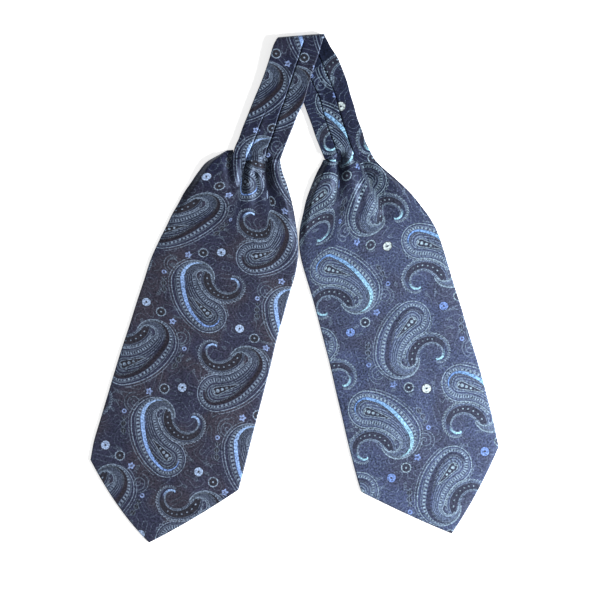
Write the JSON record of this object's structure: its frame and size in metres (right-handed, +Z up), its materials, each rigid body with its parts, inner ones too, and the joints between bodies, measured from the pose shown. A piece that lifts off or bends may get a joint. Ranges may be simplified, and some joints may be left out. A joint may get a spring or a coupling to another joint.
{
  "type": "silk cravat",
  "caption": "Self-tie silk cravat laid flat: pointed paisley blades, each with a front and a back, on a narrow pleated neck band folded over at its middle",
  "frame": {"origin": "centre of the bounding box in plan, on the table that the cravat lies on", "axes": "+X to the right, +Y from the blades' hems up to the neck band, +Z up off the table"},
  "size_m": [0.409, 0.51, 0.0091],
  "materials": {
    "silk_navy": "satin",
    "silk_slate": "satin"
  },
  "bodies": {
    "root": {"blade_left_front": "silk_navy", "blade_left_back": "silk_navy", "blade_right_front": "silk_slate", "blade_right_back": "silk_slate", "band_turn": "silk_navy", "band_left": "silk_navy", "band_right": "silk_slate"}
  },
  "joints": []
}
